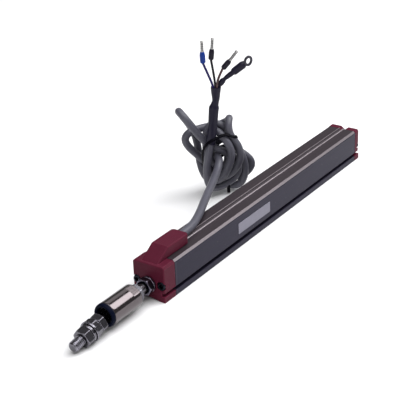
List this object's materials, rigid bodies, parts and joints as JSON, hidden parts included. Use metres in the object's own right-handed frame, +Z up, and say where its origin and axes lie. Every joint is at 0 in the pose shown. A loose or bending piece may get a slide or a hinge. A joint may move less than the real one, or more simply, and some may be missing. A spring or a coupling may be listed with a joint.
{
  "type": "linear position sensor",
  "caption": "Rod-type linear position sensor: extruded housing between moulded caps, sliding rod with a ball-stud coupling, and a signal cable with crimped cores.",
  "frame": {"origin": "on the table under the middle of the sensor's length and width, rod pushed in", "axes": "+X outward along the rod, +Y towards the labelled side, +Z up from the base"},
  "size_m": [0.2414, 0.0599, 0.0894],
  "materials": {
    "grey_anodised": "grey anodised extrusion, fine brushed satin",
    "maroon_plastic": "maroon moulded plastic, finely textured",
    "black_rubber": "black rubber, matt",
    "black_steel": "black oxide steel",
    "bright_steel": "zinc plated steel, satin",
    "ground_rod": "ground and hard chromed rod",
    "nickel": "turned and nickel plated",
    "spring_steel": "hardened steel, ground",
    "nylon": "natural nylon",
    "board_laminate": "brown laminate",
    "conductive_track": "black conductive plastic",
    "contact_brass": "bright sprung brass",
    "cable_grey": "grey extruded cable jacket",
    "tie_black": "black coated tie",
    "shrink_black": "black shrink sleeve",
    "core_grey": "bundle of insulated cores",
    "wire_blue": "blue core insulation",
    "wire_black": "black core insulation",
    "wire_brown": "brown core insulation",
    "collar_blue": "blue ferrule collar",
    "collar_black": "black ferrule collar",
    "tinned_copper": "tinned copper"
  },
  "bodies": {
    "housing": {"profile_housing": "grey_anodised", "front_cap": "maroon_plastic", "rear_cap": "maroon_plastic", "front_gasket": "black_rubber", "rear_gasket": "black_rubber", "front_screws": "black_steel", "rear_screws": "black_steel", "rod_bush": "bright_steel", "rod_wiper_seal": "black_rubber", "front_bumper": "black_rubber", "rear_bumper": "black_rubber", "inner_leads": "core_grey", "track_board": "board_laminate", "track_layers": "conductive_track", "board_terminals": "contact_brass", "cable_lead": "cable_grey", "cable_coil": "cable_grey", "cable_tie": "tie_black", "lower_sleeve": "shrink_black", "upper_sleeve": "shrink_black", "wire_blue": "wire_blue", "wire_black": "wire_black", "wire_brown": "wire_brown", "screen_wire": "shrink_black", "ferrule_collar_blue": "collar_blue", "ferrule_collar_black": "collar_black", "ferrule_collar_brown": "collar_black", "ferrule_pins": "tinned_copper", "ring_terminal": "tinned_copper"},
    "carriage": {"wiper_carriage": "nylon", "wiper_contacts": "contact_brass"},
    "rod": {"push_rod": "ground_rod", "rod_clip": "spring_steel", "jam_nut": "bright_steel", "coupling_body": "nickel", "seat_spring": "spring_steel", "rear_seat": "nylon", "front_seat": "nylon", "retaining_ring": "spring_steel", "dust_boot": "black_rubber"},
    "ball": {"ball": "spring_steel"},
    "stud": {"stud": "bright_steel", "stud_clip": "spring_steel", "lock_nut": "bright_steel", "flat_washer": "bright_steel", "lock_washer": "bright_steel", "clamp_nut": "bright_steel"}
  },
  "joints": [
    {"name": "rod_slide", "type": "slide", "parent": "housing", "child": "carriage", "axis": [1, 0, 0], "range_m": [0, 0.15]},
    {"name": "rod_spin", "type": "hinge", "parent": "carriage", "child": "rod", "pos_m": [0, 0, 0.0077], "axis": [1, 0, 0], "continuous": true},
    {"name": "ball_tilt", "type": "hinge", "parent": "rod", "child": "ball", "pos_m": [0.09327, 0, 0.0077], "axis": [0, 1, 0], "range_deg": [-24, 6]},
    {"name": "stud_spin", "type": "hinge", "parent": "ball", "child": "stud", "pos_m": [0.09327, 0, 0.0077], "axis": [0.9877, 0, -0.1564], "continuous": true}
  ]
}
